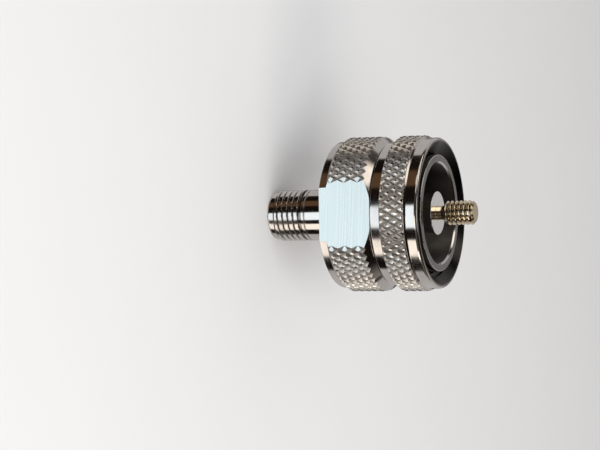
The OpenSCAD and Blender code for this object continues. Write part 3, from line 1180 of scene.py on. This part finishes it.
def build_world(context):
    """Even soft light for matt surfaces, and a dim room with bright windows for polished ones."""
    world = bpy.data.worlds.new("Studio")
    context.scene.world = world
    world.use_nodes = True
    world.node_tree.nodes.clear()
    nodes = Nodes(world.node_tree)
    direction = nodes.add("ShaderNodeTexCoord").outputs["Generated"]
    apart = nodes.add("ShaderNodeSeparateXYZ", {"Vector": direction})
    x, y, z = apart.outputs
    azimuth = nodes.math("ARCTAN2", x, nodes.math("MULTIPLY", y, -1.0))

    def between(value, low, high, soft):
        """Soft-edged mask that is one between two limits."""
        up = nodes.ramp(value, low - soft, low + soft)
        down = nodes.ramp(value, high + soft, high - soft)
        return nodes.math("MULTIPLY", up, down)

    def window(centre, half, low, high, soft=2.0):
        """Mask of a window about an azimuth in degrees, between two levels of the direction's Z."""
        limits = math.radians(centre - half), math.radians(centre + half)
        across = between(azimuth, *limits, math.radians(soft))
        return nodes.math("MULTIPLY", across, between(z, low, high, 0.04))

    # The room: lighter on the right, black at the camera's level, pale on the far side
    side = nodes.ramp(x, -0.3, 0.3)
    below = nodes.blend(side, (0.07, 0.055, 0.05), (0.80, 0.73, 0.68))
    above = nodes.blend(side, (0.07, 0.06, 0.055), (0.22, 0.20, 0.18))
    room = nodes.blend(nodes.ramp(z, -0.55, -0.75), (0.009, 0.006, 0.005), below)
    room = nodes.blend(between(z, 0.08, 0.6, 0.1), room, above)
    pale = nodes.blend(nodes.ramp(z, -0.2, 0.3), (0.52, 0.51, 0.51), (0.48, 0.47, 0.47))
    strips = nodes.math("ADD", window(172, 8, -1.0, 0.1, 5.0), window(-160, 5, -1.0, 0.1, 5.0))
    pale = nodes.blend(strips, pale, (0.10, 0.09, 0.09))
    leaning = nodes.math("SUBTRACT", y, nodes.math("MULTIPLY", nodes.math("ADD", z, 0.39), 0.4))
    room = nodes.blend(nodes.ramp(leaning, 0.09, 0.16), room, pale)
    room = nodes.blend(nodes.ramp(z, 0.955, 0.985), room, (0.8, 0.8, 0.8))
    # Azimuth and half width in degrees, lowest and highest Z of the direction, colour
    windows = (
        (5, 17, -0.85, -0.26, (1.25, 1.38, 1.5)),
        (55, 14, -0.85, -0.26, (1.42, 1.32, 1.22)),
        (-55, 13, -0.8, -0.26, (0.11, 0.06, 0.03)),
        (-88, 20, 0.68, 0.93, (1.4, 1.3, 1.18)),
        (-67, 34, 0.27, 0.55, (1.4, 1.3, 1.15)),
        (-50, 7, -0.2, 0.28, (0.6, 0.56, 0.5)),
        (14, 9, -0.3, 0.26, (1.5, 1.45, 1.4)),
        (66, 7, -0.26, 0.28, (2.2, 2.1, 1.9)),
        (56, 74, 0.29, 0.48, (0.012, 0.006, 0.003)),
    )
    for centre, half, low, high, tint in windows:
        room = nodes.blend(window(centre, half, low, high), room, tint)
    path = nodes.add("ShaderNodeLightPath")
    seen = nodes.blend(path.outputs["Is Glossy Ray"], (0.52, 0.52, 0.53), room)
    background = nodes.add("ShaderNodeBackground", {"Color": seen, "Strength": 1.0})
    nodes.add("ShaderNodeOutputWorld", {"Surface": background.outputs[0]})


def build_floor(context):
    """Plain pale floor that the adaptor stands on."""
    half = 1.5
    corners = [(-half, -half, 0), (half, -half, 0), (half, half, 0), (-half, half, 0)]
    floor = add_object("Floor", corners, [(0, 1, 2, 3)])
    material, nodes, shader = new_material("Floor_Paint")
    tint = tuple(context.scene.adaptor_stage.floor)
    haze = group_node(nodes, "Handling_Haze", haze_group, {"Patch": 60 * MM})["Mask"]
    shade = nodes.blend(nodes.math("MULTIPLY", haze, 0.3), tint, tuple(0.96 * c for c in tint))
    nodes.feed(shader["Base Color"], shade)
    shader["Roughness"].default_value = 0.9
    shader["Specular IOR Level"].default_value = 0.1
    floor.data.materials.append(material)
    floor.visible_glossy = False


def build_camera(context):
    """Long lens, turned on its side, that looks down into the mouth and square on to a flat."""
    stage = context.scene.adaptor_stage
    camera = bpy.data.objects.new("Camera", bpy.data.cameras.new("Camera"))
    context.scene.collection.objects.link(camera)
    camera.data.lens = stage.lens
    camera.data.sensor_width = 36
    camera.data.clip_start = 0.01
    back = Vector((0, -math.cos(stage.elevation), math.sin(stage.elevation)))
    target = Vector((stage.aside, 0, stage.aim))
    looking = (-back).to_track_quat("-Z", "Y").to_matrix() @ Matrix.Rotation(stage.roll, 3, "Z")
    camera.matrix_world = Matrix.Translation(target + back * stage.distance) @ looking.to_4x4()
    context.scene.camera = camera


class BuildStage(bpy.types.Operator):
    """Make the floor, the lamps, the world and the camera"""

    bl_idname = "adaptor.stage"
    bl_label = "Stage"

    def execute(self, context):
        context.scene.view_settings.view_transform = "Standard"
        build_camera(context)
        build_world(context)
        build_floor(context)
        add_lamp("Key", 12, 42, 0.5, 0.30, 1.6, (0.95, 0.98, 1.0))
        add_lamp("Warm", 60, 35, 0.5, 0.25, 0.7, (1.0, 0.93, 0.84))
        return {"FINISHED"}


class AdaptorPanel(bpy.types.Panel):
    """Lists the adaptor's pieces and their settings"""

    bl_idname = "VIEW3D_PT_adaptor"
    bl_label = "Coaxial Adaptor"
    bl_space_type = "VIEW_3D"
    bl_region_type = "UI"
    bl_category = "Adaptor"

    def draw(self, context):
        for operator in OPERATORS:
            self.layout.operator(operator.bl_idname)
        for name in GROUPS:
            box = self.layout.box()
            settings = getattr(context.scene, name)
            for key in settings.__annotations__:
                box.prop(settings, key)


OPERATORS = (
    BuildStage,
    BuildMainBody,
    BuildCouplingNut,
    BuildConductors,
    BuildCentreStud,
    FinishInnerPieces,
)


def register():
    """Registers the classes and hangs the settings on the scene."""
    for group in GROUPS.values():
        bpy.utils.register_class(group)
    for name, group in GROUPS.items():
        setattr(bpy.types.Scene, name, PointerProperty(type=group))
    for operator in OPERATORS:
        bpy.utils.register_class(operator)
    bpy.utils.register_class(AdaptorPanel)


def unregister():
    """Undoes register."""
    bpy.utils.unregister_class(AdaptorPanel)
    for operator in reversed(OPERATORS):
        bpy.utils.unregister_class(operator)
    for name, group in GROUPS.items():
        delattr(bpy.types.Scene, name)
        bpy.utils.unregister_class(group)


def main():
    """Makes every piece."""
    register()
    for operator in OPERATORS:
        group, name = operator.bl_idname.split(".")
        getattr(getattr(bpy.ops, group), name)()


if __name__ == "__main__":
    main()
